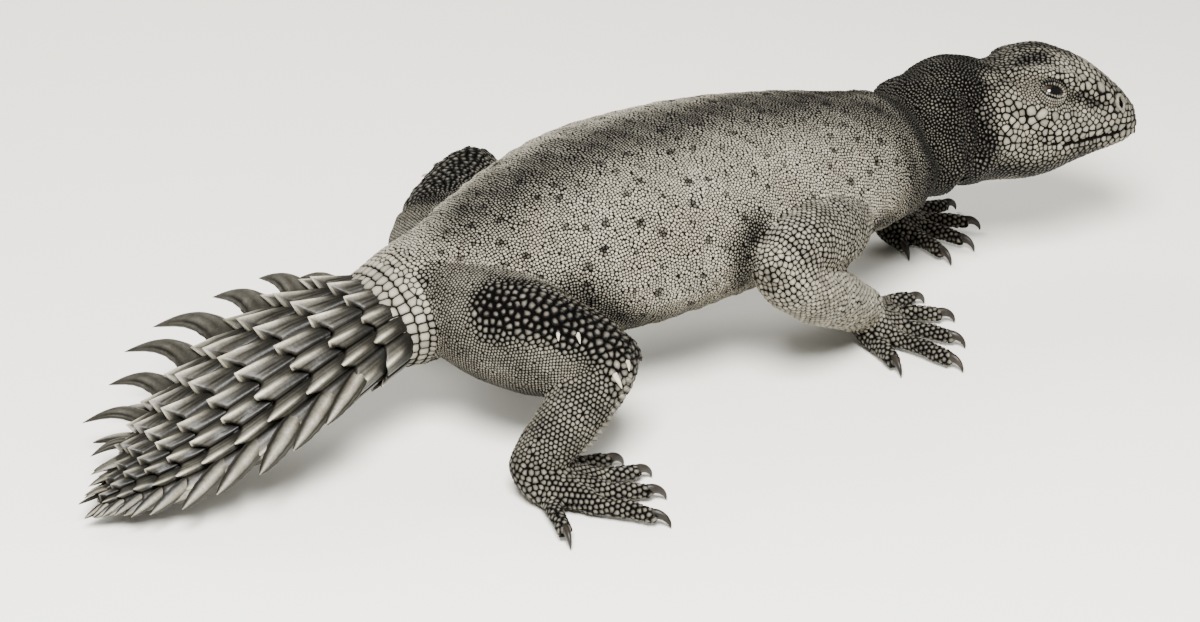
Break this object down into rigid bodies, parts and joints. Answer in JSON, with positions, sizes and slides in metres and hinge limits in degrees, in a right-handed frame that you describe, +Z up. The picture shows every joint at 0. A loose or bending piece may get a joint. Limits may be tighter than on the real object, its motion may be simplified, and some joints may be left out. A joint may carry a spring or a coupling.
{
  "type": "princely spiny-tailed lizard (uromastyx), life-size model",
  "caption": "Life-size still model of a spiny-tailed lizard, walking with raised head, with granular skin and a broad tail of spiny whorls.",
  "frame": {"origin": "centre of the bounding box at floor level", "axes": "+X the way the animal walks, +Y its left side, +Z up"},
  "size_m": [0.2192, 0.11, 0.0481],
  "materials": {
    "body_scales": "matt granular skin, olive grey brown with small dark spots",
    "head_scales": "larger polygonal scales, slightly glossy, pale at the cheeks and dark at the nape",
    "tail_scutes": "horny keeled scutes and spines, satin",
    "claw_horn": "dark horn, satin",
    "eye": "dark wet eye with a brown iris"
  },
  "bodies": {
    "root": {"claw_forefoot_left_1": "claw_horn", "claw_forefoot_left_2": "claw_horn", "claw_forefoot_left_3": "claw_horn", "claw_forefoot_left_4": "claw_horn", "claw_forefoot_left_5": "claw_horn", "claw_forefoot_right_1": "claw_horn", "claw_forefoot_right_2": "claw_horn", "claw_forefoot_right_3": "claw_horn", "claw_forefoot_right_4": "claw_horn", "claw_forefoot_right_5": "claw_horn", "claw_hindfoot_left_1": "claw_horn", "claw_hindfoot_left_2": "claw_horn", "claw_hindfoot_left_3": "claw_horn", "claw_hindfoot_left_4": "claw_horn", "claw_hindfoot_left_5": "claw_horn", "claw_hindfoot_right_1": "claw_horn", "claw_hindfoot_right_2": "claw_horn", "claw_hindfoot_right_3": "claw_horn", "claw_hindfoot_right_4": "claw_horn", "claw_hindfoot_right_5": "claw_horn", "eye_left": "eye", "eye_right": "eye", "forearm_left": "body_scales", "forearm_right": "body_scales", "forefoot_left": "body_scales", "forefoot_right": "body_scales", "head": "head_scales", "hindfoot_left": "body_scales", "hindfoot_right": "body_scales", "neck": "body_scales", "shin_left": "body_scales", "shin_right": "body_scales", "tail": "tail_scutes", "thigh_left": "body_scales", "thigh_right": "body_scales", "torso": "body_scales", "upper_arm_left": "body_scales", "upper_arm_right": "body_scales"}
  },
  "joints": []
}
